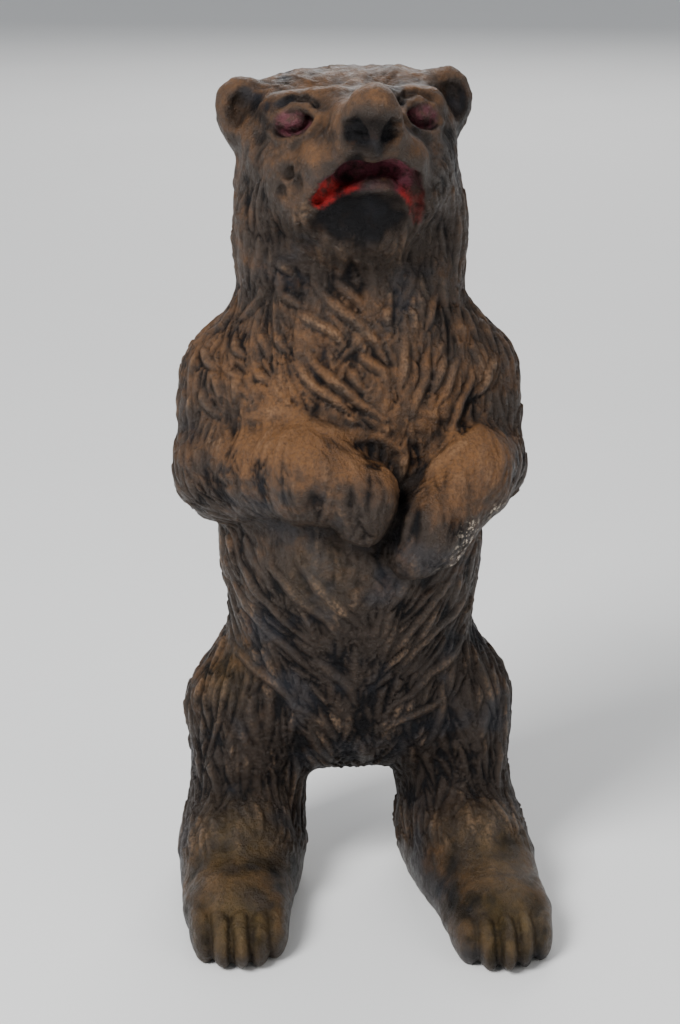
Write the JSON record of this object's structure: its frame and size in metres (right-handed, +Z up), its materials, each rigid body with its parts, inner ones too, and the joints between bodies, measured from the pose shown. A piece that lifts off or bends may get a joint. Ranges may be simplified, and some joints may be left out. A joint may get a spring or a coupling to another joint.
{
  "type": "still bank",
  "caption": "Cast iron still bank in the form of a standing bear with crossed forearms: front and back half castings drawn together by a long machine screw, with a coin slot in the back.",
  "frame": {"origin": "on the floor, under the middle of the bank's box, 11.7 mm in front of the plane where the two halves meet", "axes": "+Z up, the bear looks along -Y, and +X is the side of its left paw"},
  "size_m": [0.0694, 0.0734, 0.1569],
  "materials": {
    "iron": "dark brown-black patina rubbed to bronze brown on the high parts, semi-gloss, worn red paint in the mouth and eyes",
    "screw": "dull, brown with age"
  },
  "bodies": {
    "front": {"front_casting": "iron"},
    "back": {"back_casting": "iron"},
    "screw": {"assembly_screw": "screw"}
  },
  "joints": [
    {"name": "back_slide", "type": "slide", "parent": "front", "child": "back", "axis": [0, 1, 0], "range_m": [0, 0.08]},
    {"name": "screw_slide", "type": "slide", "parent": "back", "child": "screw", "axis": [0, 1, 0], "range_m": [0, 0.06]}
  ]
}
